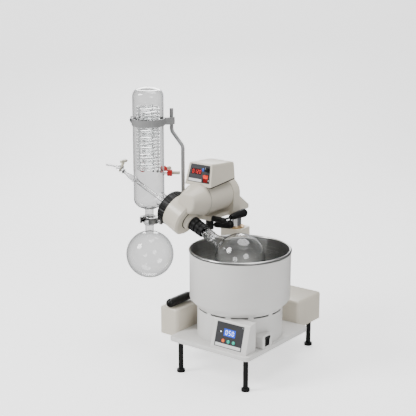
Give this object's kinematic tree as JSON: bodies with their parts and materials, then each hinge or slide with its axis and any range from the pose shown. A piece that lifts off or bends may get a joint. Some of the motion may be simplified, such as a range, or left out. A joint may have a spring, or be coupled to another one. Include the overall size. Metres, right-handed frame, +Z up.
{
  "type": "rotary evaporator",
  "caption": "Rotary evaporator: a heated bath on a raised tray, a motor head on a lift post, a tilted rotating flask, a vertical glass condenser and a receiving flask.",
  "frame": {"origin": "the heating bath's axis on the table plane that the foot pads rest on", "axes": "+Z up; +X to the operator's right, away from the condenser; +Y to the back"},
  "size_m": [0.5959, 0.398, 0.719],
  "materials": {
    "cream_paint": "fine semi-gloss powder coat, warm light grey",
    "white_paint": "smooth semi-gloss white enamel",
    "black_steel": "satin black coat",
    "zinc": "bright zinc plate",
    "stainless": "brushed stainless sheet, polished rim",
    "chrome": "polished chrome plate",
    "rod_grey": "satin anodised grey",
    "bronze": "sintered bronze",
    "gear_brass": "machined",
    "dark_steel": "dark oiled steel",
    "black_plastic": "moulded black plastic with a fine grain",
    "dark_plate": "dark grey printed film",
    "blue_display": "lit blue window",
    "red_display": "dark red window",
    "red_plastic": "gloss red moulding",
    "blue_plastic": "gloss blue cap",
    "orange_plastic": "gloss orange cap",
    "teal_plastic": "gloss teal cap",
    "white_plastic": "off-white fluoroplastic",
    "glass": "clear borosilicate glass",
    "coil_glass": "clear glass tube"
  },
  "bodies": {
    "base": {"base_body": "cream_paint", "base_cover": "zinc", "bath_tray": "white_paint", "tray_screws": "zinc", "legs": "black_steel", "column_sleeve": "cream_paint", "guide_bushes": "bronze", "bath_pedestal": "white_paint", "bath_shell": "white_paint", "bath_bowl": "stainless", "bath_heater": "dark_steel", "bath_console": "white_paint", "bath_panel": "dark_plate", "bath_display": "blue_display", "switch_box": "white_paint"},
    "set_button": {"set_button": "orange_plastic"},
    "down_button": {"down_button": "teal_plastic"},
    "up_button": {"up_button": "teal_plastic"},
    "bath_rocker": {"bath_rocker": "black_plastic"},
    "brake_lever": {"brake_lever": "black_steel", "lever_grip": "black_plastic"},
    "carriage": {"lift_post": "chrome", "lift_bracket": "cream_paint"},
    "tilt_lever": {"tilt_lever": "black_steel", "tilt_grip": "black_plastic"},
    "lock_lever": {"lock_lever": "black_steel", "lock_grip": "black_plastic"},
    "head": {"motor_barrel": "cream_paint", "gear_case": "cream_paint", "drive_motor": "dark_steel", "hub_bearings": "zinc", "front_seal": "cream_paint", "vapour_seal": "white_plastic", "union_nut": "black_plastic", "control_box": "cream_paint", "control_panel": "dark_plate", "speed_display": "red_display", "rod_holder": "rod_grey", "support_rod": "rod_grey", "clamp_band": "rod_grey", "band_screw": "dark_steel", "condenser_jacket": "glass", "cooling_coil": "coil_glass", "hose_caps": "red_plastic", "hose_barbs": "white_plastic", "receiving_flask": "glass", "joint_clamp": "dark_steel", "feed_tube": "glass", "tap_body": "glass"},
    "tap_key": {"tap_key": "white_plastic"},
    "speed_knob": {"speed_knob": "black_plastic"},
    "start_button": {"start_button": "blue_plastic"},
    "power_rocker": {"power_rocker": "red_plastic"},
    "rotor": {"evaporating_flask": "glass", "flask_clip": "black_plastic", "drive_hub": "zinc", "vapour_duct": "glass", "worm_wheel": "gear_brass"},
    "worm": {"worm_shaft": "dark_steel"}
  },
  "joints": [
    {"name": "lift", "type": "slide", "parent": "base", "child": "carriage", "axis": [0, 0, 1], "range_m": [0, 0.12]},
    {"name": "head_tilt", "type": "hinge", "parent": "carriage", "child": "head", "pos_m": [-0.1603, 0, 0.42446], "axis": [0, -1, 0], "range_deg": [-5, 20]},
    {"name": "rotor_spin", "type": "hinge", "parent": "head", "child": "rotor", "pos_m": [0, 0, 0.2977], "axis": [-0.9135, 0, 0.4067], "continuous": true},
    {"name": "worm_spin", "type": "hinge", "parent": "head", "child": "worm", "pos_m": [-0.1603, 0, 0.42446], "axis": [0, 1, 0], "continuous": true},
    {"name": "speed_knob_turn", "type": "hinge", "parent": "head", "child": "speed_knob", "pos_m": [-0.1361, 0.03887, 0.50703], "axis": [0, -0.9715, 0.2368], "range_deg": [-150, 150]},
    {"name": "start_button_press", "type": "slide", "parent": "head", "child": "start_button", "axis": [0, 0.9715, -0.2368], "range_m": [0, 0.001], "stiffness_N_per_m": 300},
    {"name": "power_rocker_tip", "type": "hinge", "parent": "head", "child": "power_rocker", "pos_m": [-0.1385, 0.03746, 0.48226], "axis": [-1, 0, 0], "range_deg": [0, 12]},
    {"name": "tap_key_turn", "type": "hinge", "parent": "head", "child": "tap_key", "pos_m": [-0.40838, 0, 0.47952], "axis": [0.4067, 0, 0.9135], "range_deg": [0, 90]},
    {"name": "tilt_lever_turn", "type": "hinge", "parent": "carriage", "child": "tilt_lever", "pos_m": [-0.102, 0.059, 0.36996], "axis": [1, 0, 0], "range_deg": [0, 35]},
    {"name": "lock_lever_turn", "type": "hinge", "parent": "carriage", "child": "lock_lever", "pos_m": [-0.146, 0.062, 0.34946], "axis": [0, 0, 1], "range_deg": [-35, 35]},
    {"name": "brake_lever_lift", "type": "hinge", "parent": "base", "child": "brake_lever", "pos_m": [-0.128, 0, 0.14], "axis": [-1, 0, 0], "range_deg": [0, 20]},
    {"name": "set_button_press", "type": "slide", "parent": "base", "child": "set_button", "axis": [0, 0.9659, -0.2588], "range_m": [0, 0.0008], "stiffness_N_per_m": 300},
    {"name": "down_button_press", "type": "slide", "parent": "base", "child": "down_button", "axis": [0, 0.9659, -0.2588], "range_m": [0, 0.0008], "stiffness_N_per_m": 300},
    {"name": "up_button_press", "type": "slide", "parent": "base", "child": "up_button", "axis": [0, 0.9659, -0.2588], "range_m": [0, 0.0008], "stiffness_N_per_m": 300},
    {"name": "bath_rocker_tip", "type": "hinge", "parent": "base", "child": "bath_rocker", "pos_m": [0.1175, -0.05, 0.112], "axis": [0, -1, 0], "range_deg": [0, 9.5]}
  ],
  "couplings": [
    {"joint": "worm_spin", "follows": "rotor_spin", "ratio": 38}
  ]
}
